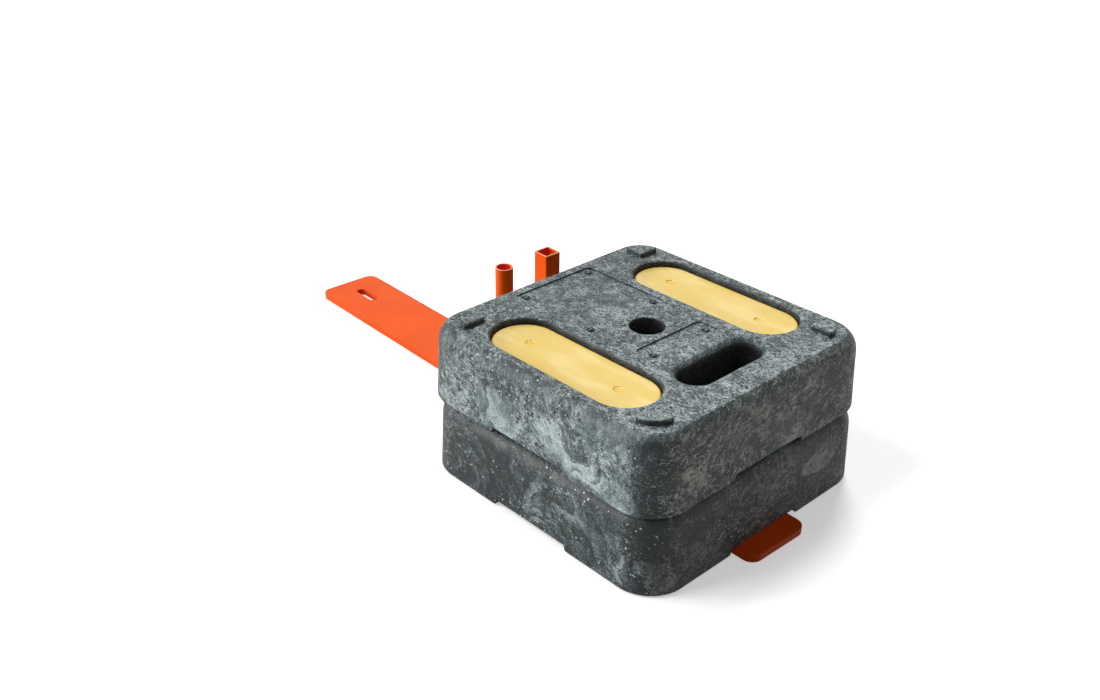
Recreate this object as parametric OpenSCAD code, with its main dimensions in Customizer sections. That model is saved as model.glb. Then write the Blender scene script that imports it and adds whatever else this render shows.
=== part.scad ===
// Two stackable fence ballast weights on a flat steel foot with two fence spigots.
// Millimetres. The origin is on the floor, under the middle of the lower weight.
// X runs along the foot, the long foot arm lies toward -X and the hand holes toward +X.

/* [Weight] */
// Width of the square weight, where its drafted sides would meet the floor
weight_w = 400; // [380:5:460]
// Height of one weight, without its stacking lugs
weight_h = 101; // [80:1:140]
// Radius of the upright corners at the base
corner_r = 52; // [40:2:70]
// Draft of the side walls, in degrees
side_draft = 3; // [0:0.5:5]
// Radius of the rounded top edge
top_edge_r = 26; // [6:1:30]
// Angle at which the rounded edge leaves the top face, which gives a visible line, in degrees
top_crease = 30; // [0:5:40]
// Radius of the bottom edge
base_edge_r = 5; // [2:1:8]

/* [Underside channels] */
// Width of the two crossing channels at their mouth
channel_w = 128; // [122:2:140]
// Slope of the channel walls, in degrees
channel_draft = 20; // [5:5:25]
// Radius of the rounded edges of the channel mouth
channel_lip_r = 3; // [1:0.5:4]

/* [Stacking lugs] */
// Distance from the sides of the weight to the square corner of a lug
lug_place = 60; // [58:1:70]
// Radius of the quarter-round lug
lug_r = 32; // [26:1:38]
// Height of the lug above the top face
lug_h = 7; // [5:1:12]
// Play all round a lug in its socket
lug_play = 8; // [7:0.5:10]
// Free height above a lug in its socket
lug_headroom = 2; // [1:0.5:5]

/* [Insert pockets] */
// Length of an insert
insert_l = 250; // [200:2:252]
// Width of an insert
insert_w = 84; // [60:2:86]
// Thickness of an insert
insert_t = 14; // [8:1:20]
// Distance from the side of the weight to the middle line of an insert
insert_place = 74; // [72:1:76]
// Depth of the insert's top below the top face
insert_sunk = 7.5; // [2:0.5:10]
// Gap round an insert in its pocket
insert_gap = 0.8; // [0.4:0.1:1.2]
// Radius of the rounded rim of a pocket
pocket_lip_r = 4; // [1:1:8]
// Radius of the insert's top edge
insert_edge_r = 3; // [1:0.5:5]
// Distance between the two moulding dimples of an insert
dimple_pitch = 148; // [100:4:160]
// Radius of a dimple
dimple_r = 6.5; // [3:0.5:9]
// Depth of a dimple
dimple_depth = 1; // [0.5:0.25:2]

/* [Hand hole] */
// Width of the hand hole between its walls
hand_w = 42; // [36:1:44]
// Length of the hand hole between its walls
hand_l = 130; // [110:2:130]
// Radius of the rounded rim of the hand hole
hand_lip_r = 11; // [5:1:11]
// Distance from the side of the weight to the middle of the hand hole
hand_place = 84; // [80:1:88]

/* [Post hole] */
// Diameter of the post hole through the middle
post_hole_d = 44; // [38:1:50]
// Radius of the rim of the post hole
post_lip_r = 2; // [1:0.5:4]

/* [Sunk panels] */
// Depth of the two sunk panels in the top face
panel_depth = 2; // [0.6:0.2:2.4]
// Length of the large panel along X
large_panel_l = 140; // [110:1:142]
// Length of the large panel along Y
large_panel_w = 134; // [100:2:140]
// Place of the large panel's middle on the X axis, toward -X
large_panel_place = 100; // [100:0.5:104]
// Length of the small panel along X
small_panel_l = 32; // [24:1:36]
// Length of the small panel along Y
small_panel_w = 116; // [100:1:140]
// Place of the small panel's middle on the X axis
small_panel_place = 49.5; // [47:0.5:52]
// Corner radius of the panels
panel_corner_r = 7; // [4:0.5:9]
// Distance from a panel's edge to a rivet
rivet_inset = 11; // [9:0.5:13]
// Radius of a moulded rivet head, which ends flush with the top face
rivet_r = 3.5; // [2:0.5:4]
// Radius of the round seat that a rivet head stands in
rivet_seat_r = 5.5; // [5:0.5:7]
// Depth of a rivet's seat below its panel
rivet_seat_depth = 1.2; // [0.4:0.2:2]

/* [Foot] */
// Length of the foot bar
bar_l = 924; // [800:2:1000]
// Width of the foot bar
bar_w = 100; // [80:2:104]
// Thickness of the foot bar, which is also the depth of the channels
bar_t = 10; // [6:1:14]
// Radius of the bar's corners in plan
bar_corner_r = 15; // [5:1:25]
// Length of the fixing slot in the bar
slot_l = 48; // [30:2:60]
// Width of the fixing slot
slot_w = 14; // [10:1:20]
// Distance from the end of the bar to the middle of the fixing slot
slot_inset = 60; // [50:2:80]
// Length of the bar that shows past the base of the weight on the short side
bar_toe = 28; // [0:2:60]
// Height of the spigots above the bar
spigot_h = 204; // [120:2:300]
// Distance from the side of the lower weight to the middle of the spigots
spigot_place = 32; // [26:1:60]
// Distance between the two spigots
spigot_pitch = 76; // [60:2:76]
// Outer diameter of the round spigot
round_spigot_d = 24; // [18:1:26]
// Outer width of the square spigot
square_spigot_w = 25; // [18:1:26]
// Wall of both spigots
spigot_wall = 2; // [1:0.25:3]
// Corner radius of the square spigot
square_spigot_r = 1.5; // [0.5:0.5:3]
// Leg of the weld bead round a spigot
weld_leg = 4; // [2:0.5:5]

/* [Lie of the pieces] */
// Turn of the foot under the weights, in degrees
foot_turn = -1.5; // [-2:0.25:2]
// How far the upper weight sits off the lower one along X
stack_off_x = -6.5; // [-6.5:0.5:6.5]
// How far the upper weight sits off the lower one along Y
stack_off_y = 3; // [-6.5:0.5:6.5]

/* [Hidden] */
$fn = 64;
edge_steps = 6;
cut_over = 2;

half_w = weight_w / 2;
corner_place = half_w - corner_r;
channel_depth = bar_t;
channel_roof_w = channel_w - 2 * channel_depth * tan(channel_draft);
insert_middle = half_w - insert_place;
insert_top = weight_h - insert_sunk;
pocket_floor = insert_top - insert_t;
insert_r = insert_w / 2;
insert_run = insert_l - insert_w;
pocket_r = insert_r + insert_gap;
hand_middle = half_w - hand_place;
hand_r = hand_w / 2;
hand_run = hand_l - hand_w;
lug_corner = half_w - lug_place;
socket_depth = lug_h + lug_headroom;
socket_corner = lug_corner - lug_play;
socket_r = lug_r + 2 * lug_play;
lug_corner_r = 4;
lug_bevel = 2;
rivet_floor = weight_h - panel_depth - rivet_seat_depth;
rivet_taper = 0.8;
bar_middle = half_w + bar_toe - bar_l / 2;
spigot_middle = -half_w - spigot_place;
slot_run = slot_l - slot_w;
body_grey = "#4b5254";
insert_yellow = "#f2cf6a";
foot_orange = "#e8501c";

// Points of an arc round (cx, cy), from angle a0 to angle a1.
function arc(cx, cy, r, a0, a1, steps = edge_steps) =
    [for (i = [0 : steps]) let (a = a0 + (a1 - a0) * i / steps) [cx + r * cos(a), cy + r * sin(a)]];

// The drafted side wall from bottom to top, measured from the wall's foot at x = 0:
// an arc tangent to the base, the sloping wall, and an arc that meets the top face in a crease.
function side_wall() =
    let (base_cx = -base_edge_r * (1 + sin(side_draft)) / cos(side_draft),
        top_cz = weight_h - top_edge_r * cos(top_crease),
        top_cx = -(top_edge_r + top_cz * sin(side_draft)) / cos(side_draft))
    concat(arc(base_cx, base_edge_r, base_edge_r, -90, side_draft),
        arc(top_cx, top_cz, top_edge_r, side_draft, 90 - top_crease, 2 * edge_steps));

// A side wall moved out to distance d from its axis.
function wall_at(d, wall) = [for (p = wall) [p.x + d, p.y]];

// A side wall and its mirror image, closed into one section.
function section(wall) =
    concat(wall, [for (i = [len(wall) - 1 : -1 : 0]) [-wall[i].x, wall[i].y]]);

// A side wall closed along the axis, for a revolve.
function half_section(wall) =
    concat([[0, wall[0].y]], wall, [[0, wall[len(wall) - 1].y]]);

// Outline of a rectangle with round corners.
function round_rect(l, w, r) =
    concat(arc(l / 2 - r, w / 2 - r, r, 0, 90), arc(-l / 2 + r, w / 2 - r, r, 90, 180),
        arc(-l / 2 + r, -w / 2 + r, r, 180, 270), arc(l / 2 - r, -w / 2 + r, r, 270, 360));

// A solid of the stadium kind along X: a straight run of one section, closed by half revolves.
module stadium(run, wall) {
    rotate([90, 0, 90])
        linear_extrude(height = run, center = true)
            polygon(section(wall));
    for (end = [0, 180])
        rotate(end)
            translate([run / 2, 0, 0])
                rotate(-90)
                    rotate_extrude(angle = 180)
                        polygon(half_section(wall));
}

// The wall of a hole through the top face, with a rounded rim. It starts at height z0.
function lipped_wall(r, lip, z0) =
    concat([[r, z0]], arc(r + lip, weight_h - lip, lip, 180, 90), [[r + lip, weight_h + cut_over]]);

// Quarter-round plan of a lug, with its square corner at the origin.
module lug_plan(r, corner) {
    inner = r - corner;
    reach = asin(corner / inner);
    polygon(concat(arc(corner, corner, corner, 180, 270),
        arc(inner * cos(reach), corner, corner, 270, 360 + reach),
        arc(0, 0, r, reach, 90 - reach, 2 * edge_steps),
        arc(corner, inner * cos(reach), corner, 90 - reach, 180)));
}

// Copies of a thing at the four corners, each turned to point outward.
module at_corners(place) {
    for (turn = [0, 90, 180, 270])
        rotate(turn)
            translate([place, place, 0])
                children();
}

// The plain block: two crossed slabs of the same section and four revolved corners.
module block() {
    for (turn = [0, 90])
        rotate([90, 0, turn])
            linear_extrude(height = 2 * corner_place, center = true)
                polygon(section(wall_at(half_w, side_wall())));
    at_corners(corner_place)
        rotate_extrude(angle = 90)
            polygon(half_section(wall_at(corner_r, side_wall())));
}

// The two crossing channels, with a lip that rounds into the underside.
module channels() {
    lip_cx = channel_w / 2 + channel_lip_r * (1 - sin(channel_draft)) / cos(channel_draft);
    lip = arc(lip_cx, channel_lip_r, channel_lip_r, 270, 180 + channel_draft);
    for (turn = [0, 90])
        rotate([90, 0, turn])
            linear_extrude(height = weight_w + 2 * cut_over, center = true)
                polygon(section(concat([[lip_cx, -cut_over]], lip,
                    [[channel_roof_w / 2, channel_depth]])));
}

module lug() {
    hull() {
        linear_extrude(height = lug_h - lug_bevel)
            lug_plan(lug_r, lug_corner_r);
        translate([lug_bevel, lug_bevel, 0])
            linear_extrude(height = lug_h)
                lug_plan(lug_r - 2 * lug_bevel, lug_corner_r - lug_bevel);
    }
}

module panel(l, w) {
    translate([0, 0, weight_h - panel_depth])
        linear_extrude(height = panel_depth + cut_over)
            polygon(round_rect(l, w, panel_corner_r));
}

// A panel's rivet places, at the height of the floor of their seats.
module at_rivets(place, l, w, columns) {
    for (x = columns, y = [-1, 1])
        translate([place + x * (l / 2 - rivet_inset), y * (w / 2 - rivet_inset), rivet_floor])
            children();
}

module at_all_rivets() {
    at_rivets(-large_panel_place, large_panel_l, large_panel_w, [-1, 1])
        children();
    at_rivets(small_panel_place, small_panel_l, small_panel_w, [1])
        children();
}

module weight() {
    color(body_grey) {
        difference() {
            block();
            channels();
            for (side = [-1, 1])
                translate([0, side * insert_middle, 0])
                    stadium(insert_run, lipped_wall(pocket_r, pocket_lip_r, pocket_floor));
            translate([hand_middle, 0, 0])
                rotate(90)
                    stadium(hand_run, lipped_wall(hand_r, hand_lip_r, -cut_over));
            rotate_extrude()
                polygon(half_section(lipped_wall(post_hole_d / 2, post_lip_r, -cut_over)));
            at_corners(socket_corner)
                translate([0, 0, -cut_over])
                    linear_extrude(height = socket_depth + cut_over)
                        lug_plan(socket_r, lug_corner_r);
            translate([-large_panel_place, 0, 0])
                panel(large_panel_l, large_panel_w);
            translate([small_panel_place, 0, 0])
                panel(small_panel_l, small_panel_w);
            at_all_rivets()
                cylinder(r = rivet_seat_r, h = weight_h - rivet_floor, $fn = 24);
        }
        translate([0, 0, weight_h])
            at_corners(lug_corner)
                lug();
        at_all_rivets()
            cylinder(r1 = rivet_r, r2 = rivet_r - rivet_taper, h = weight_h - rivet_floor, $fn = 24);
    }
}

// One insert in a weight's own frame, on the side -1 (front) or 1 (back).
module insert(side) {
    wall = concat([[insert_r, pocket_floor]],
        arc(insert_r - insert_edge_r, insert_top - insert_edge_r, insert_edge_r, 0, 90));
    color(insert_yellow)
        translate([0, side * insert_middle, 0])
            difference() {
                stadium(insert_run, wall);
                for (x = [-1, 1])
                    translate([x * dimple_pitch / 2, 0, insert_top - dimple_depth])
                        cylinder(r1 = dimple_r - dimple_depth, r2 = dimple_r + cut_over,
                            h = dimple_depth + cut_over, $fn = 32);
            }
}

module on_upper() {
    translate([stack_off_x, stack_off_y, weight_h])
        children();
}

module foot_bar() {
    color(foot_orange)
        rotate(foot_turn)
            translate([bar_middle, 0, 0])
                difference() {
                    linear_extrude(height = bar_t)
                        polygon(round_rect(bar_l, bar_w, bar_corner_r));
                    translate([slot_inset - bar_l / 2, 0, 0])
                        stadium(slot_run, [[slot_w / 2, -cut_over], [slot_w / 2, bar_t + cut_over]]);
                }
}

// The place of a spigot on the bar, on the side -1 (front) or 1 (back).
module on_bar(side) {
    rotate(foot_turn)
        translate([spigot_middle, side * spigot_pitch / 2, bar_t])
            children();
}

module round_spigot() {
    outer = round_spigot_d / 2;
    inner = outer - spigot_wall;
    color(foot_orange)
        on_bar(-1)
            rotate_extrude()
                polygon([[inner, 0], [outer + weld_leg, 0], [outer, weld_leg],
                    [outer, spigot_h], [inner, spigot_h]]);
}

module square_spigot() {
    inner = square_spigot_w - 2 * spigot_wall;
    straight = square_spigot_w - 2 * square_spigot_r;
    bead = [[0, 0], [square_spigot_r + weld_leg, 0], [square_spigot_r, weld_leg], [0, weld_leg]];
    color(foot_orange)
        on_bar(1)
            difference() {
                union() {
                    linear_extrude(height = spigot_h)
                        polygon(round_rect(square_spigot_w, square_spigot_w, square_spigot_r));
                    for (turn = [0, 90, 180, 270])
                        rotate(turn)
                            translate([straight / 2, straight / 2, 0]) {
                                rotate_extrude(angle = 90)
                                    polygon(bead);
                                rotate([90, 0, 0])
                                    linear_extrude(height = straight)
                                        polygon(bead);
                            }
                }
                translate([-inner / 2, -inner / 2, -cut_over])
                    cube([inner, inner, spigot_h + 2 * cut_over]);
            }
}

module lower_weight() {
    weight();
}

module upper_weight() {
    on_upper()
        weight();
}

foot_bar();
round_spigot();
square_spigot();
lower_weight();
upper_weight();
insert(-1);  // lower_insert_front
insert(1);  // lower_insert_back
on_upper() insert(-1);  // upper_insert_front
on_upper() insert(1);  // upper_insert_back
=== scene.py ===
"""Dresses a fence ballast set: two moulded weights, their inserts and a welded steel foot."""

import math

import bmesh
import bpy
from bpy.props import FloatProperty, FloatVectorProperty, PointerProperty
from mathutils import Matrix, Vector, noise


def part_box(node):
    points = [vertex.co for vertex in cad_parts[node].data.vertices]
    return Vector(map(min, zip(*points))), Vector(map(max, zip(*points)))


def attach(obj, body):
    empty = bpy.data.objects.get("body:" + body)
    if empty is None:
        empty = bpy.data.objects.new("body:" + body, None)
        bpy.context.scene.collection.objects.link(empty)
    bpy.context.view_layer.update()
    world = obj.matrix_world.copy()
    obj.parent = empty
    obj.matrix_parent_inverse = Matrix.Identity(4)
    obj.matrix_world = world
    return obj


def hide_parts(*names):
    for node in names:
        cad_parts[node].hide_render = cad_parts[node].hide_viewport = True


bl_info = {
    "name": "Fence ballast set",
    "version": (1, 0, 0),
    "blender": (4, 5, 0),
    "location": "View3D > Sidebar > Ballast",
    "description": "Finishes for moulded ballast weights on a welded steel foot",
    "category": "Object",
}

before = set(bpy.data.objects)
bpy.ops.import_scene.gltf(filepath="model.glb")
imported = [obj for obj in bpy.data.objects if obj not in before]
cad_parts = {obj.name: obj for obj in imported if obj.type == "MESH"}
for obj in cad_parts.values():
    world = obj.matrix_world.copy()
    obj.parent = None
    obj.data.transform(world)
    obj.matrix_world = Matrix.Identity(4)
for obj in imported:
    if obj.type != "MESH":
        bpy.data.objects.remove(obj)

MM = 0.001
BODY = "root"

# How much darker and of stronger contrast each weight's plastic is, from 0 to 1.
DARKENING = {"lower_weight": 1.0, "upper_weight": 0.0}
INSERTS = (
    "lower_insert_front",
    "lower_insert_back",
    "upper_insert_front",
    "upper_insert_back",
)

# Sizes of the CAD part. The rivets' places are in mm from the middle of a weight.
WEIGHT_HEIGHT = 101 * MM
RIVET_PLACES = ((-159, 56), (-41, 56), (54.5, 47))
RIVET_SEAT = 3.2 * MM
DIMPLE_PITCH = 148 * MM
FOOT_TURN = math.radians(-1.5)

# The plain rivet heads lie within this radius, and above their seat by more than this height.
RIVET_CLEAR = 4.2 * MM
RIVET_ABOVE = 0.05 * MM
# How far a new rivet head and a weld bead reach into what carries them.
RIVET_SINK = 0.7 * MM
WELD_SINK = 0.3 * MM
# The line of each weld bead, just inside the tube: corner radius and half the straight side.
WELD_LINES = {
    "round_spigot": (11.7 * MM, 0.0),
    "square_spigot": (1.4 * MM, 10.8 * MM),
}
WELD_LINE_POINTS = 48

# Tolerances for the clean-up of a CAD mesh, and the angles in degrees from which an edge is
# rounded or shaded as sharp.
MERGE_DISTANCE = 0.001 * MM
FLAT_ANGLE = 0.6
SHARP_EDGE = 30.0
SHARP_SHADE = 32.0
SHARP_CREASE = 24.0
SHARP_WELD = 50.0

# The waviness: scales of its broad and its fine noise in repeats a metre, and the strength of
# the fine one beside the broad one.
WAVE_BROAD = 16.0
WAVE_FINE = 55.0
WAVE_FINE_PART = 0.4
# The cuts that carry it are moved by this part of their spacing, so that none lies in a face,
# and a point this close to a cut counts as on it.
CUT_SHIFT = 0.37
CUT_TOLERANCE = 0.02 * MM

# The picture in pixels, the camera's sensor in mm, and the floor's half size and its depth
# below the set.
IMAGE_WIDTH = 1100
IMAGE_HEIGHT = 700
SENSOR_WIDTH = 36.0
FLOOR_HALF = 9.0
FLOOR_GAP = 0.3 * MM
# Each sun lamp: the setting with its strength, the way towards it and its spread in degrees.
LAMPS = (
    ("back_key", (-0.42, 0.50, 0.76), 20.0),
    ("near_key", (-0.36, -0.50, 0.79), 20.0),
    ("front", (-0.76, -0.62, 0.20), 24.0),
)

# Sockets of the colour form of the Mix node.
MIX_FACTOR = 0
MIX_FIRST = 6
MIX_SECOND = 7
MIX_RESULT = 2


class Channel:
    """One socket of a node, which takes part in Python arithmetic."""

    def __init__(self, tree, socket):
        self.tree = tree
        self.socket = socket

    def is_vector(self):
        return self.socket.type in {"VECTOR", "RGBA"}

    def joined(self, operation, first, second):
        terms = (first, second)
        vector = any(
            term.is_vector() if isinstance(term, Channel) else isinstance(term, tuple)
            for term in terms
        )
        kind = "ShaderNodeVectorMath" if vector else "ShaderNodeMath"
        return self.tree.node(kind, {"operation": operation}, dict(enumerate(terms)))

    def __add__(self, other):
        return self.joined("ADD", self, other)

    def __radd__(self, other):
        return self.joined("ADD", other, self)

    def __sub__(self, other):
        return self.joined("SUBTRACT", self, other)

    def __rsub__(self, other):
        return self.joined("SUBTRACT", other, self)

    def __mul__(self, other):
        return self.joined("MULTIPLY", self, other)

    def __rmul__(self, other):
        return self.joined("MULTIPLY", other, self)

    def __truediv__(self, other):
        return self.joined("DIVIDE", self, other)

    def __rtruediv__(self, other):
        return self.joined("DIVIDE", other, self)


class Tree:
    """A node tree of any kind, built node by node."""

    def __init__(self, tree):
        self.tree = tree

    def node(self, kind, settings, inputs, output=0):
        """A node with its settings made first, then the values or links of its sockets."""
        made = self.tree.nodes.new(kind)
        for name, value in settings.items():
            setattr(made, name, value)
        for name, value in inputs.items():
            self.feed(made.inputs[name], value)
        return Channel(self, made.outputs[output]) if made.outputs else None

    def feed(self, socket, value):
        if isinstance(value, Channel):
            self.tree.links.new(value.socket, socket)
        elif socket.type == "VECTOR" and not isinstance(value, tuple):
            socket.default_value = (value, value, value)
        elif socket.type == "RGBA":
            socket.default_value = (*value[:3], 1.0)
        else:
            socket.default_value = value

    def math(self, operation, first, second=0.0):
        return self.node("ShaderNodeMath", {"operation": operation}, {0: first, 1: second})

    def larger(self, first, second):
        return self.math("MAXIMUM", first, second)

    def unsigned(self, value):
        """The value without its sign."""
        return self.math("ABSOLUTE", value)

    def vector(self, x, y, z):
        return self.node("ShaderNodeCombineXYZ", {}, {0: x, 1: y, 2: z})

    def axes(self, vector):
        return [
            self.node("ShaderNodeSeparateXYZ", {}, {0: vector}, axis) for axis in range(3)
        ]

    def between(self, factor, first, second):
        """The colour that lies at factor between two colours."""
        inputs = {MIX_FACTOR: factor, MIX_FIRST: first, MIX_SECOND: second}
        return self.node("ShaderNodeMix", {"data_type": "RGBA"}, inputs, MIX_RESULT)

    def seen(self):
        """1 for a ray of the camera, also by way of gloss or glass, and 0 for any other."""
        rays = ("Is Camera Ray", "Is Glossy Ray", "Is Transmission Ray")
        camera, glossy, through = [
            self.node("ShaderNodeLightPath", {}, {}, ray) for ray in rays
        ]
        return self.larger(self.larger(camera, glossy), through)


class Finish(Tree):
    """A procedural material of one principled shader."""

    def __init__(self, name):
        self.material = bpy.data.materials.new(name)
        self.material.use_nodes = True
        super().__init__(self.material.node_tree)
        self.shader = self.tree.nodes["Principled BSDF"]

    def place(self):
        return self.node("ShaderNodeTexCoord", {}, {}, "Object")

    def facing(self):
        """The three parts of the surface's direction in the set's own frame."""
        return self.axes(self.node("ShaderNodeTexCoord", {}, {}, "Normal"))

    def noise(self, vector, scale, detail=2.0, roughness=0.5, output=0):
        inputs = {"Vector": vector, "Scale": scale, "Detail": detail, "Roughness": roughness}
        return self.node("ShaderNodeTexNoise", {}, inputs, output)

    def swirl(self, vector, scale, reach):
        """A push of a place in a smooth random direction, at most about reach long."""
        push = self.noise(vector, scale, output="Color") - (0.5, 0.5, 0.5)
        return push * (reach, reach, reach)

    def bent(self, vector, broad, fine):
        """A place pushed by a broad and a fine swirl, each given by its scale and reach."""
        return vector + self.swirl(vector, *broad) + self.swirl(vector, *fine)

    def cells(self, vector, scale):
        """The distance to the nearest of many scattered points."""
        return self.node("ShaderNodeTexVoronoi", {}, {"Vector": vector, "Scale": scale})

    def rise(self, value, start, end):
        """A smooth step of a value, from 0 at start to 1 at end, which may be the smaller."""
        settings = {"interpolation_type": "SMOOTHSTEP"}
        inputs = {"Value": value, "From Min": start, "From Max": end}
        return self.node("ShaderNodeMapRange", settings, inputs)

    def relief(self, height, distance):
        """A bumped direction for a height of 1 that stands out by distance."""
        inputs = {"Height": height, "Distance": distance}
        return self.node("ShaderNodeBump", {}, inputs)

    def set(self, **values):
        """Sockets of the shader, with a low line in place of a space."""
        for name, value in values.items():
            self.feed(self.shader.inputs[name.replace("_", " ")], value)
        return self.material


class Maker(Tree):
    """A Geometry Nodes tree with named inputs, which makes a mesh from a starting mesh."""

    def __init__(self, name):
        super().__init__(bpy.data.node_groups.new(name, "GeometryNodeTree"))
        face = self.tree.interface
        face.new_socket("Geometry", in_out="OUTPUT", socket_type="NodeSocketGeometry")
        self.start = self.named("Geometry", "NodeSocketGeometry")
        self.stuff = self.named("Material", "NodeSocketMaterial")

    def named(self, name, kind):
        """A named input of the tree."""
        self.tree.interface.new_socket(name, in_out="INPUT", socket_type=kind)
        return self.node("NodeGroupInput", {}, {}, name)

    def size(self, name):
        return self.named(name, "NodeSocketFloat")

    def end(self, geometry):
        real = self.node("GeometryNodeRealizeInstances", {}, {"Geometry": geometry})
        inputs = {"Geometry": real, "Material": self.stuff}
        made = self.node("GeometryNodeSetMaterial", {}, inputs)
        self.node("NodeGroupOutput", {}, {"Geometry": made})
        return self

    def mesh(self, name, start, material, **sizes):
        """The plain mesh that the tree makes from a starting mesh."""
        values = {"Material": material, **sizes}
        holder = bpy.data.objects.new(name, start)
        bpy.context.scene.collection.objects.link(holder)
        modifier = holder.modifiers.new("maker", "NODES")
        modifier.node_group = self.tree
        for item in self.tree.interface.items_tree:
            if item.in_out == "INPUT" and item.name in values:
                modifier[item.identifier] = values[item.name]
        ready = holder.evaluated_get(bpy.context.evaluated_depsgraph_get())
        made = bpy.data.meshes.new_from_object(ready)
        holder.modifiers.remove(modifier)
        bpy.data.objects.remove(holder)
        made.name = name
        if not made.polygons:
            raise RuntimeError(name + " came out empty")
        return made


def colour(name, description, value):
    return FloatVectorProperty(
        name=name,
        description=description,
        default=value,
        size=3,
        subtype="COLOR",
        min=0.0,
        max=1.0,
    )


def length(name, description, value):
    return FloatProperty(
        name=name,
        description=description,
        default=value,
        subtype="DISTANCE",
        unit="LENGTH",
        min=0.0,
    )


def angle(name, description, degrees):
    return FloatProperty(
        name=name,
        description=description,
        default=math.radians(degrees),
        subtype="ANGLE",
        unit="ROTATION",
    )


def number(name, description, value):
    return FloatProperty(name=name, description=description, default=value)


class WeightSettings(bpy.types.PropertyGroup):
    """Finish of the moulded weights."""

    dark: colour("Dark", "Dark plastic between the fibres", (0.017, 0.026, 0.028))
    middle: colour("Middle", "Body of the recycled plastic", (0.148, 0.187, 0.191))
    pale: colour("Pale", "Pale fibres and flow marks", (0.50, 0.58, 0.58))
    black: colour("Black", "Pits, flecks and deep shade", (0.009, 0.010, 0.011))
    speck: colour("Speck", "Light specks", (0.66, 0.68, 0.68))
    darker_grey: number("Darker grey", "Shade of the older weight beside the lighter one", 0.60)
    edge: length("Edge", "Rounding of the sharp edges", 0.5 * MM)
    spacing: length("Spacing", "Spacing of the cuts that carry the waviness", 7.0 * MM)
    wave: length("Wave", "Depth of the waviness of the moulded faces", 0.45 * MM)


class RivetSettings(bpy.types.PropertyGroup):
    """Sizes of the moulded rivet heads."""

    radius: length("Radius", "Radius of a rivet head", 3.5 * MM)
    height: length("Height", "Height of a rivet head above its seat", 2.9 * MM)


class InsertSettings(bpy.types.PropertyGroup):
    """Finish of the glossy inserts."""

    body: colour("Body", "Warm yellow plastic", (0.89, 0.615, 0.11))
    pale: colour("Pale", "Pale flow marks", (0.95, 0.75, 0.26))
    deep: colour("Deep", "Deeper colour of the edges and dimples", (0.92, 0.55, 0.015))
    edge: length("Edge", "Rounding of the sharp edges", 0.3 * MM)


class FootSettings(bpy.types.PropertyGroup):
    """Finish of the steel foot."""

    paint: colour("Paint", "Orange powder coat", (0.87, 0.088, 0.001))
    rim_coat_and_highlight: colour("Rim coat and highlight", "Thin coat and painted highlight on a cut rim", (0.96, 0.42, 0.26))
    edge: length("Edge", "Rounding of the sharp edges", 0.7 * MM)
    rim: length("Rim", "Rounding of the tube rims", 0.3 * MM)
    weld_leg: length("Weld leg", "Leg of a weld bead", 4.3 * MM)
    weld_pitch: length("Weld pitch", "Distance between the ripples of a weld bead", 2.2 * MM)
    weld_ripple: number("Weld ripple", "Part of the leg by which a ripple stands out", 0.20)


class StudioSettings(bpy.types.PropertyGroup):
    """Camera and light of the studio."""

    azimuth: angle("Azimuth", "Turn of the camera round the set", 46.81)
    elevation: angle("Elevation", "Height of the camera above the horizon", 28.90)
    roll: angle("Roll", "Roll of the camera", 0.46)
    distance: length("Distance", "Depth of the origin in front of the camera", 1552.75 * MM)
    focal_pixels: number("Focal length", "Focal length in pixels of the photograph", 1191.56)
    origin_right: number("Origin right", "Column where the camera sees the origin", 642.0)
    origin_down: number("Origin down", "Row where the camera sees the origin", 465.2)
    back_key: number("Back key", "Light of the high rear lamp on a face square to it", 0.50)
    near_key: number("Near key", "Light of the high near lamp on a face square to it", 0.36)
    front: number("Front", "Light of the low front lamp on a face square to it", 0.90)
    ambient: number("Ambient", "Light from all round", 0.12)
    lift: number("Lift", "Light that the floor shows to the camera only", 0.455)
    floor_grey: number("Floor grey", "Grey of the floor to the set", 0.38)
    floor_white: number("Floor white", "Grey of the floor to the camera", 0.96)


def finished_mesh(name, node, edge, sharp=SHARP_EDGE, trim=None):
    """A merged copy of a CAD node with its flat faces joined and its sharp edges rounded."""
    mesh = bpy.data.meshes.new(name)
    bm = bmesh.new()
    bm.from_mesh(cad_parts[node].data)
    bmesh.ops.remove_doubles(bm, verts=bm.verts, dist=MERGE_DISTANCE)
    flat = math.radians(FLAT_ANGLE)
    bmesh.ops.dissolve_limit(bm, angle_limit=flat, verts=bm.verts, edges=bm.edges)
    if trim:
        trim(bm)
    limit = math.radians(sharp)
    corners = [e for e in bm.edges if e.is_manifold and e.calc_face_angle() > limit]
    bmesh.ops.bevel(
        bm,
        geom=corners,
        offset=edge,
        segments=2,
        profile=0.5,
        affect="EDGES",
        clamp_overlap=False,
    )
    bm.to_mesh(mesh)
    bm.free()
    return mesh


def shade(mesh, sharp=SHARP_SHADE):
    mesh.shade_smooth()
    mesh.set_sharp_from_angle(angle=math.radians(sharp))


def new_piece(name, mesh, material):
    piece = bpy.data.objects.new(name, mesh)
    bpy.context.scene.collection.objects.link(piece)
    mesh.materials.clear()
    mesh.materials.append(material)
    return piece


def dress(piece, slot, *nodes):
    """Ties a piece to the body and hides the CAD nodes that it stands for; the slot is not
    used.
    """
    weighted = piece.modifiers.new("even_faces", "WEIGHTED_NORMAL")
    weighted.keep_sharp = True
    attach(piece, BODY)
    if nodes:
        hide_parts(*nodes)
    return piece


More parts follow.
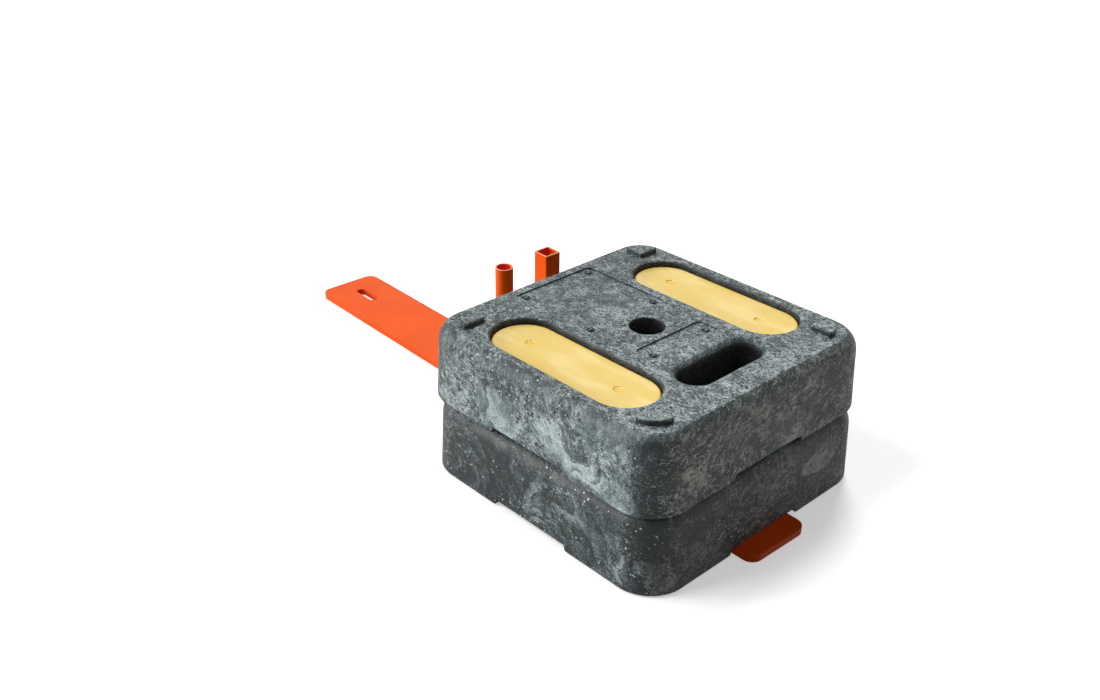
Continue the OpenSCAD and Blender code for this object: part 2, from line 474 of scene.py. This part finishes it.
# Pale flow marks on the outer faces: the middle and the half sizes in mm, and the strength.
FLOW_MARKS = (
    ((-48, -195, 138), (40, 40, 22), 0.34),
    ((38, -195, 150), (28, 40, 26), 0.30),
    ((78, -195, 127), (30, 40, 20), 0.50),
    ((122, -195, 114), (46, 40, 17), 0.42),
    ((-110, -195, 128), (42, 40, 30), 0.10),
    ((12, -197, 40), (26, 40, 34), 0.42),
    ((70, -197, 62), (36, 40, 22), 0.20),
    ((178, -190, 26), (40, 40, 22), 0.60),
    ((196, 105, 62), (40, 34, 16), 0.70),
    ((196, -140, 135), (40, 50, 26), 0.16),
    ((196, 30, 140), (40, 60, 24), 0.18),
)


# Scales of the plastic's patterns, in repeats a metre. A swirl has its reach beside it.
FIBRE_SWIRLS = ((9.0, 75 * MM), (38.0, 14 * MM))
FOLD_SWIRLS = ((16.0, 85 * MM), (60.0, 10 * MM))
PATCH_SWIRL = (20.0, 30 * MM)
PATCH_SCALE = 17.0
CLUMP_SCALE = 80.0
CLOUD_SCALE = 11.0
GRAIN_SCALE = 400.0
DUST_SCALE = 800.0
FLECK_SCALE = 170.0
PIT_SCALE = 100.0
SPECK_SCALE = 145.0
SPECK_PATCH_SCALE = 34.0
# Fibres: the scale from layer to layer, the scale along a layer, and the noise's detail.
STRANDS = (400.0, 75.0, 3.0)
HAIRS = (850.0, 150.0, 2.0)
LAYER_WAY = (0.45, -0.22, 0.86)
# Folds: scale of the warped noise, and the number of bands that its range is cut in.
FOLD_SCALE = 13.0
FOLD_BANDS = 6.0

# Masks of the weights, from where each is 0 to where it is 1. These read how far a face looks
# up or east, and for a corner how far it looks both east or west and north or south.
LEVEL_FACE = (0.90, 0.97)
ROUNDED_FACE = (0.08, 0.30)
BELOW_LEVEL = (0.93, 0.88)
STEEP_FACE = (0.94, 0.50)
EAST_FACE = (0.45, 0.9)
CORNER_FACE = (0.16, 0.42)
# These read a distance from the middle of the weight.
WITHIN_RIM = (183 * MM, 178 * MM)
PANEL_PART = (80 * MM, 74 * MM)
WEST_TO_EAST = (-190 * MM, 190 * MM)
# These read a depth below the top.
DEEP_HOLLOW = (4.0 * MM, 11.0 * MM)
RIVET_SEAT_FLOOR = (2.65 * MM, 3.0 * MM)


def flow_marks(finish, place):
    """The summed strength of the pale marks, each an ellipsoid with a short soft border."""
    marks = 0.0
    for middle, half_sizes, strength in FLOW_MARKS:
        centre = tuple(part * MM for part in middle)
        shrink = tuple(1.0 / (part * MM) for part in half_sizes)
        away = (place - centre) * shrink
        away = finish.node("ShaderNodeVectorMath", {"operation": "LENGTH"}, {0: away}, "Value")
        marks = finish.rise(away, 1.04, 0.80) * strength + marks
    return marks


def fibre_noise(finish, place, across, along, detail):
    """Short fibres: a noise that changes quickly from layer to layer and slowly along one."""
    x, y, z = finish.axes(place)
    layer = x * LAYER_WAY[0] + y * LAYER_WAY[1] + z * LAYER_WAY[2]
    drawn_out = finish.vector(layer * across, (x + y) * along, (z - x) * along)
    return finish.noise(drawn_out, 1.0, detail, 0.7) - 0.5


def fold_lines(finish, place):
    """Curled folds: a warped noise cut in bands, each with one hard and one soft border."""
    curled = finish.bent(place, *FOLD_SWIRLS)
    band = finish.noise(curled, FOLD_SCALE, 1.0, 0.4) * FOLD_BANDS
    band = finish.math("FRACT", band)
    return finish.rise(band, 0.0, 0.9) - band * 0.3 - 0.33


def shadow_mask(finish, from_middle, up, top):
    """Painted shade on the steep inner walls, the deep hollows and the rivets' seats."""
    x, y, z = finish.axes(from_middle)
    outward = finish.larger(finish.unsigned(x), finish.unsigned(y))
    away_from_panels = 1.0 - finish.rise(x, *PANEL_PART)
    steep = finish.rise(up + away_from_panels * 0.22, *STEEP_FACE) * 0.86
    deep = finish.rise(top - z, *DEEP_HOLLOW) * 0.86
    seat = finish.rise(top - z, *RIVET_SEAT_FLOOR) * finish.rise(up, *LEVEL_FACE) * 0.85
    inner = finish.rise(outward, *WITHIN_RIM)
    return inner * finish.larger(finish.larger(steep, deep), seat)


def weight_finish(settings, name, middle, top, darkening):
    """Recycled plastic: folds and short fibres, with grains, flecks, specks and pits.

    The last argument, from 0 to 1, makes the weight darker and of stronger contrast.
    """
    finish = Finish(name)
    place = finish.place()
    from_middle = place - (middle.x, middle.y, 0.0)
    east, north, up = finish.facing()
    flat = finish.rise(up, *LEVEL_FACE)
    shoulder = finish.rise(up, *ROUNDED_FACE) * finish.rise(up, *BELOW_LEVEL)
    side = finish.rise(east, *EAST_FACE)
    corner = finish.rise(finish.unsigned(east * north), *CORNER_FACE)

    bent = finish.bent(place, *FIBRE_SWIRLS)
    marks = flow_marks(finish, bent)
    marked = finish.rise(marks, 0.05, 0.25)
    patchy = finish.noise(place + finish.swirl(place, *PATCH_SWIRL), PATCH_SCALE)
    fibrous = finish.rise(patchy, 0.42, 0.58)
    fibres = fibre_noise(finish, bent, *STRANDS) * 1.5 + fibre_noise(finish, bent, *HAIRS) * 1.6
    fibres = fibres * (0.30 + fibrous * 0.85 + side * 0.7) * (1.0 - marked * 0.6)
    folds = fold_lines(finish, place) * (0.24 + marked * 0.46)
    clumps = finish.noise(bent, CLUMP_SCALE, 3.0, 0.65) - 0.5
    clouds = finish.noise(place, CLOUD_SCALE) - 0.5
    grain = finish.noise(place, GRAIN_SCALE, 2.0, 0.75) - 0.5
    dust = finish.noise(place, DUST_SCALE, 2.0, 0.7) - 0.5

    # How strongly a pattern shows anywhere, and what the flat top and the east side add.
    patterns = (
        (fibres, 1.0, -0.6, 0.0),
        (folds, 1.0, -1.0, 0.0),
        (grain, 1.0, 2.3, 0.8),
        (dust, 1.0, 1.3, 0.0),
        (clumps, 1.1, 1.6, 0.6),
        (clouds, 0.9 + darkening * 0.4, 0.0, 0.0),
    )
    level = 0.0
    for pattern, anywhere, on_top, on_side in patterns:
        level = pattern * (anywhere + flat * on_top + side * on_side) + level
    contrast = 1.35 + darkening * 0.35 + side * 0.35 - marked * 0.35
    # Painted highlight: the top gets lighter towards the east.
    painted_sheen = flat * finish.rise(finish.axes(from_middle)[0], *WEST_TO_EAST) * 0.34
    # Painted shade: the rounded upright corners and the east side, which turn away from the
    # lamps, are darker.
    base = 0.37 - darkening * 0.27 - flat * 0.06 - corner * 0.42 - side * 0.13
    level = level * contrast + marks * 0.95 + painted_sheen + base

    # dark and black are the plastic's own colours, and also serve as the painted shade of the
    # shoulders, corners, inner walls and hollows.
    dark, black = tuple(settings.dark), tuple(settings.black)
    body = finish.between(finish.rise(level, -0.10, 0.58), dark, tuple(settings.middle))
    paler = finish.rise((level - 0.40) * (1.0 - flat * 0.42), 0.05, 0.80)
    body = finish.between(paler, body, tuple(settings.pale))

    fleck = finish.noise(place * (1.0, 1.9, 1.0), FLECK_SCALE, 1.0)
    fleck = finish.rise(fleck, 0.41, 0.36) * (0.30 + flat * 0.60)
    pit = finish.rise(finish.cells(place, PIT_SCALE), 0.25, 0.15)
    pit = pit * finish.rise(patchy, 0.44, 0.52)
    speck = finish.rise(finish.cells(place, SPECK_SCALE), 0.20, 0.13)
    speck = speck * finish.rise(finish.noise(place, SPECK_PATCH_SCALE, 1.0), 0.50, 0.58)
    grey = 1.0 - (1.0 - settings.darker_grey) * darkening
    # Painted shade: the east side, which faces away from the lamps, gets a warmer tint.
    tint = finish.between(side, (grey, grey, grey), (grey * 1.16, grey * 1.02, grey * 0.92))
    body = finish.between(fleck, body, black)
    body = finish.between(pit * 0.85, body, black)
    # Painted shade: the rounded shoulders are darkened, more so at the corners.
    body = finish.between(shoulder * (0.35 + corner * 0.35), body, dark)
    body = finish.between(speck * (0.9 - flat * 0.4), body * tint, tuple(settings.speck))
    # Painted shade: the inner walls, hollows and rivet seats are blackened.
    body = finish.between(shadow_mask(finish, from_middle, up, top), body, black)

    height = fibres * 0.5 + grain * (0.4 + flat * 0.8) + folds * 0.5 - pit * 1.3 - fleck * 0.6
    return finish.set(
        Base_Color=body,
        Roughness=0.58 - marked * 0.12 - shoulder * 0.10 + grain * 0.4,
        Normal=finish.relief(height, 0.6 * MM),
        Specular_IOR_Level=0.3,
    )


# An insert's finish: scales in repeats a metre, how much the flow marks are drawn out, the
# half sizes of the stain at a dimple, and the depths below the top where the colour deepens.
INSERT_SWIRL = (12.0, 35 * MM)
INSERT_FLOW_SCALE = 10.0
INSERT_WAVE_SCALE = 26.0
FLOW_STRETCH = (1.0, 3.4, 1.0)
STAIN_SWIRL = (90.0, 6 * MM)
STAIN_HALF_X = 8.0 * MM
STAIN_HALF_Y = 5.5 * MM
BELOW_TOP = (0.15 * MM, 1.2 * MM)


def insert_finish(settings, name, middle, top):
    """Glossy plastic with pale flow marks, deeper in colour at its dimples and edges."""
    finish = Finish(name)
    place = finish.place()
    bent = place + finish.swirl(place, *INSERT_SWIRL)
    flow = finish.noise(bent * FLOW_STRETCH, INSERT_FLOW_SCALE)
    streaks = finish.rise(flow, 0.38, 0.66) * 0.5
    body = finish.between(streaks, tuple(settings.body), tuple(settings.pale))
    ragged = place + finish.swirl(place, *STAIN_SWIRL) - (middle.x, middle.y, 0.0)
    x, y, _ = finish.axes(ragged)
    x = (finish.unsigned(x) - DIMPLE_PITCH / 2) / STAIN_HALF_X
    y = y / STAIN_HALF_Y
    stain = finish.rise(x * x + y * y, 1.2, 0.6) * 0.75
    low = finish.rise(top - finish.axes(place)[2], *BELOW_TOP) * 0.9
    body = finish.between(finish.larger(stain, low), body, tuple(settings.deep))
    return finish.set(
        Base_Color=body,
        Roughness=0.22 + finish.rise(flow, 0.45, 0.65) * 0.08,
        Normal=finish.relief(finish.noise(place, INSERT_WAVE_SCALE), 0.45 * MM),
        Coat_Weight=0.2,
        Coat_Roughness=0.08,
        Specular_IOR_Level=0.4,
    )


# The paint's finish: scales in repeats a metre, the depths below a tube's end between which
# the coat gets thin and pale, which is partly a painted highlight, and how far the peel makes
# that border ragged.
PEEL_SCALE = 700.0
PAINT_CLOUD_SCALE = 18.0
THIN_COAT = (0.75 * MM, 0.1 * MM)
THIN_COAT_RAGGED = 0.5 * MM


def paint_finish(settings, name, rim):
    """Powder coat with a fine peel; a tube's cut rim is pale: thin coat and painted highlight.
    """
    finish = Finish(name)
    place = finish.place()
    peel = finish.noise(place, PEEL_SCALE)
    cloud = finish.noise(place, PAINT_CLOUD_SCALE)
    paint = tuple(settings.paint)
    fresh = tuple(min(1.0, part * 1.10 + 0.006) for part in paint)
    body = finish.between(finish.rise(cloud, 0.3, 0.8), paint, fresh)
    depth = rim - finish.axes(place)[2] - peel * THIN_COAT_RAGGED
    # The pale rim: a thin coat over the cut edge, and a painted highlight.
    thin = finish.rise(depth, *THIN_COAT)
    body = finish.between(thin * 0.85, body, tuple(settings.rim_coat_and_highlight))
    return finish.set(
        Base_Color=body,
        Roughness=0.42 + (cloud - 0.5) * 0.12,
        Normal=finish.relief(peel, 0.06 * MM),
        Specular_IOR_Level=0.16,
        Specular_Tint=(1.0, 0.6, 0.05),
    )


def waved(mesh, spacing, depth):
    """Cuts a mesh by planes along all three axes and pushes its points in by a smooth noise."""
    bm = bmesh.new()
    bm.from_mesh(mesh)
    lows = [min(v.co[axis] for v in bm.verts) for axis in range(3)]
    highs = [max(v.co[axis] for v in bm.verts) for axis in range(3)]
    for axis in range(3):
        normal = Vector((axis == 0, axis == 1, axis == 2))
        count = int((highs[axis] - lows[axis]) / spacing)
        for step in range(1, count + 1):
            cut = Vector((0.0, 0.0, 0.0))
            cut[axis] = lows[axis] + (step - CUT_SHIFT) * spacing
            bmesh.ops.bisect_plane(
                bm,
                geom=bm.verts[:] + bm.edges[:] + bm.faces[:],
                dist=CUT_TOLERANCE,
                plane_co=cut,
                plane_no=normal,
            )
    bm.normal_update()
    for vertex in bm.verts:
        wave = noise.noise(vertex.co * WAVE_BROAD)
        wave += WAVE_FINE_PART * noise.noise(vertex.co * WAVE_FINE)
        vertex.co -= vertex.normal * depth * (0.5 + 0.5 * wave)
    bm.to_mesh(mesh)
    bm.free()


def clear_rivets(bm, spots, floor):
    """Takes the plain rivet heads off a moulding and closes the floors of their seats."""
    heads = []
    for face in bm.faces:
        middle = face.calc_center_median()
        near = any(math.hypot(middle.x - x, middle.y - y) < RIVET_CLEAR for x, y in spots)
        if near and middle.z > floor + RIVET_ABOVE:
            heads.append(face)
    bmesh.ops.delete(bm, geom=heads, context="FACES")
    open_edges = [edge for edge in bm.edges if edge.is_boundary]
    bmesh.ops.holes_fill(bm, edges=open_edges, sides=0)


def node_middle(node):
    low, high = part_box(node)
    return (low + high) / 2


def rivet_spots(node):
    """The rivets' places on a weight."""
    middle = node_middle(node)
    return [
        (middle.x + x * MM, middle.y + side * y * MM)
        for x, y in RIVET_PLACES
        for side in (-1, 1)
    ]


def points_mesh(name, points, loop=False):
    """A mesh of loose points, or of one closed line through them."""
    count = len(points)
    lines = [(i, (i + 1) % count) for i in range(count)] if loop else []
    mesh = bpy.data.meshes.new(name)
    mesh.from_pydata(points, lines, [])
    return mesh


def weight_top(node):
    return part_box(node)[0].z + WEIGHT_HEIGHT


class BALLAST_OT_weights(bpy.types.Operator):
    """Finishes the two moulded weights"""

    bl_idname = "ballast.weights"
    bl_label = "Moulded weights"

    def execute(self, context):
        settings = context.scene.ballast_weight
        for node, darkening in DARKENING.items():
            name = node + "_moulding"
            top = weight_top(node)
            spots = rivet_spots(node)
            mesh = finished_mesh(
                name,
                node,
                settings.edge,
                SHARP_CREASE,
                lambda bm: clear_rivets(bm, spots, top - RIVET_SEAT),
            )
            waved(mesh, settings.spacing, settings.wave)
            shade(mesh, SHARP_CREASE)
            middle = node_middle(node)
            material = weight_finish(settings, node + "_plastic", middle, top, darkening)
            dress(new_piece(name, mesh, material), "weight_plastic", node)
        return {"FINISHED"}


def rivet_maker():
    """Instances one domed head, flat below, on every point."""
    maker = Maker("rivet_heads")
    radius, height = maker.size("Radius"), maker.size("Height")
    sphere = {"Segments": 24, "Rings": 12, "Radius": 1.0}
    ball = maker.node("GeometryNodeMeshUVSphere", {}, sphere)
    scale = maker.vector(radius, radius, height)
    dome = maker.node("GeometryNodeTransform", {}, {"Geometry": ball, "Scale": scale})
    x, y, z = maker.axes(maker.node("GeometryNodeInputPosition", {}, {}))
    cut = maker.vector(x, y, maker.larger(z, -RIVET_SINK))
    dome = maker.node("GeometryNodeSetPosition", {}, {"Geometry": dome, "Position": cut})
    dome = maker.node("GeometryNodeSetShadeSmooth", {}, {"Geometry": dome})
    spread = {"Points": maker.start, "Instance": dome}
    return maker.end(maker.node("GeometryNodeInstanceOnPoints", {}, spread))


class BALLAST_OT_rivets(bpy.types.Operator):
    """Sets the moulded rivet heads in their seats"""

    bl_idname = "ballast.rivets"
    bl_label = "Rivet heads"

    def execute(self, context):
        settings = context.scene.ballast_rivet
        maker = rivet_maker()
        sizes = {"Radius": settings.radius, "Height": settings.height}
        for node in DARKENING:
            name = node + "_rivets"
            seat = weight_top(node) - RIVET_SEAT
            spots = [(x, y, seat) for x, y in rivet_spots(node)]
            material = bpy.data.materials[node + "_plastic"]
            mesh = maker.mesh(name, points_mesh(name + "_places", spots), material, **sizes)
            shade(mesh)
            dress(new_piece(name, mesh, material), "weight_plastic")
        return {"FINISHED"}


class BALLAST_OT_inserts(bpy.types.Operator):
    """Finishes the glossy inserts"""

    bl_idname = "ballast.inserts"
    bl_label = "Glossy inserts"

    def execute(self, context):
        settings = context.scene.ballast_insert
        for node in INSERTS:
            name = node + "_pad"
            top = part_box(node)[1].z
            material = insert_finish(settings, name + "_plastic", node_middle(node), top)
            mesh = finished_mesh(name, node, settings.edge)
            shade(mesh)
            dress(new_piece(name, mesh, material), "insert_plastic", node)
        return {"FINISHED"}


class BALLAST_OT_foot(bpy.types.Operator):
    """Finishes the foot bar and its two spigots"""

    bl_idname = "ballast.foot"
    bl_label = "Bar and spigots"

    def execute(self, context):
        settings = context.scene.ballast_foot
        material = paint_finish(settings, "orange_powder_coat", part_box("round_spigot")[1].z)
        edges = {
            "foot_bar": settings.edge,
            "round_spigot": settings.rim,
            "square_spigot": settings.rim,
        }
        for node, edge in edges.items():
            name = node + "_steel"
            mesh = finished_mesh(name, node, edge)
            shade(mesh)
            dress(new_piece(name, mesh, material), "foot_paint", node)
        return {"FINISHED"}


def bead_maker():
    """Sweeps a convex bead along a closed line, thicker at each ripple."""
    maker = Maker("weld_beads")
    leg, pitch, ripple = maker.size("Leg"), maker.size("Pitch"), maker.size("Ripple")
    steps = 6.0
    line = maker.node("GeometryNodeMeshToCurve", {}, {"Mesh": maker.start})
    spaced = {"Curve": line, "Length": pitch / steps}
    line = maker.node("GeometryNodeResampleCurve", {"mode": "LENGTH"}, spaced)
    line = maker.node("GeometryNodeSetCurveNormal", {"mode": "Z_UP"}, {"Curve": line})
    turn = maker.math("FRACT", maker.node("GeometryNodeInputIndex", {}, {}) / steps)
    swell = 1.0 + (1.0 - turn * turn) * ripple
    line = maker.node("GeometryNodeSetCurveRadius", {}, {"Curve": line, "Radius": swell})
    bulge = leg * 0.66
    corners = {
        "Point 1": maker.vector(0.0, 0.0, 0.0),
        "Point 2": maker.vector(leg, 0.0, 0.0),
        "Point 3": maker.vector(bulge, bulge, 0.0),
        "Point 4": maker.vector(0.0, leg, 0.0),
    }
    kind = {"mode": "POINTS"}
    profile = maker.node("GeometryNodeCurvePrimitiveQuadrilateral", kind, corners)
    rounded = {"Curve": profile, "Radius": leg * 0.25, "Count": 3}
    profile = maker.node("GeometryNodeFilletCurve", {"mode": "POLY"}, rounded)
    sweep = {"Curve": line, "Profile Curve": profile}
    return maker.end(maker.node("GeometryNodeCurveToMesh", {}, sweep))


def weld_line(node):
    """A closed line round the foot of a tube: a circle, or a square with round corners."""
    radius, half = WELD_LINES[node]
    middle = node_middle(node)
    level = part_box("foot_bar")[1].z - WELD_SINK
    points = []
    for step in range(WELD_LINE_POINTS):
        around = math.tau * (step + 0.5) / WELD_LINE_POINTS
        x = math.cos(around) * radius + math.copysign(half, math.cos(around))
        y = math.sin(around) * radius + math.copysign(half, math.sin(around))
        place = Matrix.Rotation(FOOT_TURN, 2) @ Vector((x, y))
        points.append((middle.x + place.x, middle.y + place.y, level))
    return points_mesh(node + "_weld_line", points, loop=True)


class BALLAST_OT_welds(bpy.types.Operator):
    """Lays a rippled weld bead round the foot of each spigot"""

    bl_idname = "ballast.welds"
    bl_label = "Weld beads"

    def execute(self, context):
        settings = context.scene.ballast_foot
        maker = bead_maker()
        material = bpy.data.materials["orange_powder_coat"]
        sizes = {
            "Leg": settings.weld_leg,
            "Pitch": settings.weld_pitch,
            "Ripple": settings.weld_ripple,
        }
        for node in WELD_LINES:
            mesh = maker.mesh(node + "_weld", weld_line(node), material, **sizes)
            shade(mesh, SHARP_WELD)
            dress(new_piece(node + "_weld", mesh, material), "foot_paint")
        return {"FINISHED"}


def camera_matrix(studio):
    """The camera's place and turn, from its angles and from where it sees the origin."""
    a, e = studio.azimuth, studio.elevation
    back = Vector((math.sin(a) * math.cos(e), -math.cos(a) * math.cos(e), math.sin(e)))
    right = Vector((math.cos(a), math.sin(a), 0.0))
    turn = Matrix((right, back.cross(right), back)).transposed()
    turn = turn @ Matrix.Rotation(studio.roll, 3, "Z")
    per_pixel = studio.distance / studio.focal_pixels
    origin_x = (studio.origin_right - IMAGE_WIDTH / 2) * per_pixel
    origin_y = (IMAGE_HEIGHT / 2 - studio.origin_down) * per_pixel
    origin = Vector((origin_x, origin_y, -studio.distance))
    return Matrix.Translation(-(turn @ origin)) @ turn.to_4x4()


def add_camera(studio):
    camera = bpy.data.cameras.new("studio_camera")
    camera.sensor_width = SENSOR_WIDTH
    camera.lens = studio.focal_pixels / IMAGE_WIDTH * SENSOR_WIDTH
    camera.clip_start = 10 * MM
    camera.clip_end = 100.0
    holder = bpy.data.objects.new("studio_camera", camera)
    holder.matrix_world = camera_matrix(studio)
    bpy.context.scene.collection.objects.link(holder)
    bpy.context.scene.camera = holder


def add_sun(name, toward, light, spread):
    """A lamp that lights a face square to it as brightly as a white strength of light."""
    lamp = bpy.data.lights.new(name, "SUN")
    lamp.energy = light * math.pi
    lamp.angle = math.radians(spread)
    holder = bpy.data.objects.new(name, lamp)
    holder.rotation_mode = "QUATERNION"
    holder.rotation_quaternion = Vector(toward).to_track_quat("Z", "Y")
    bpy.context.scene.collection.objects.link(holder)


def add_floor(studio):
    """A floor with one grey for the camera and another for the light on the set."""
    mesh = bpy.data.meshes.new("studio_floor")
    signs = ((-1, -1), (1, -1), (1, 1), (-1, 1))
    corners = [(x * FLOOR_HALF, y * FLOOR_HALF, -FLOOR_GAP) for x, y in signs]
    mesh.from_pydata(corners, [], [(0, 1, 2, 3)])
    finish = Finish("studio_floor")
    seen = finish.seen()
    finish.set(
        Base_Color=finish.between(seen, (studio.floor_grey,) * 3, (studio.floor_white,) * 3),
        Roughness=0.9,
        Specular_IOR_Level=0.0,
        Emission_Color=finish.between(seen, (0.0, 0.0, 0.0), (studio.lift,) * 3),
        Emission_Strength=1.0,
    )
    new_piece("studio_floor", mesh, finish.material)


def add_world(studio):
    """White to the camera, and a weak light from all round to the set."""
    world = bpy.data.worlds.new("studio_world")
    world.use_nodes = True
    bpy.context.scene.world = world
    sky = Tree(world.node_tree)
    light = sky.between(sky.seen(), (studio.ambient,) * 3, (1.0, 1.0, 1.0))
    background = sky.tree.nodes["Background"]
    sky.feed(background.inputs["Color"], light)
    sky.feed(background.inputs["Strength"], 1.0)


class BALLAST_OT_studio(bpy.types.Operator):
    """Sets the floor, the light and the camera"""

    bl_idname = "ballast.studio"
    bl_label = "Studio"

    def execute(self, context):
        studio = context.scene.ballast_studio
        context.scene.view_settings.view_transform = "Standard"
        add_floor(studio)
        add_world(studio)
        for name, toward, spread in LAMPS:
            add_sun(name + "_lamp", toward, getattr(studio, name), spread)
        add_camera(studio)
        return {"FINISHED"}


class BALLAST_PT_panel(bpy.types.Panel):
    """Lists the pieces of the ballast set"""

    bl_label = "Fence ballast set"
    bl_idname = "BALLAST_PT_panel"
    bl_space_type = "VIEW_3D"
    bl_region_type = "UI"
    bl_category = "Ballast"

    def draw(self, context):
        for operator in OPERATORS:
            self.layout.operator(operator.bl_idname)


SETTINGS = {
    "ballast_weight": WeightSettings,
    "ballast_rivet": RivetSettings,
    "ballast_insert": InsertSettings,
    "ballast_foot": FootSettings,
    "ballast_studio": StudioSettings,
}
OPERATORS = (
    BALLAST_OT_weights,
    BALLAST_OT_rivets,
    BALLAST_OT_inserts,
    BALLAST_OT_foot,
    BALLAST_OT_welds,
    BALLAST_OT_studio,
)
CLASSES = (*SETTINGS.values(), *OPERATORS, BALLAST_PT_panel)


def register():
    for one in CLASSES:
        bpy.utils.register_class(one)
    for name, group in SETTINGS.items():
        setattr(bpy.types.Scene, name, PointerProperty(type=group))


def unregister():
    for name in SETTINGS:
        delattr(bpy.types.Scene, name)
    for one in reversed(CLASSES):
        bpy.utils.unregister_class(one)


def main():
    register()
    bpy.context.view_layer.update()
    bpy.ops.ballast.weights()
    bpy.ops.ballast.rivets()
    bpy.ops.ballast.inserts()
    bpy.ops.ballast.foot()
    bpy.ops.ballast.welds()
    bpy.ops.ballast.studio()


if __name__ == "__main__":
    main()
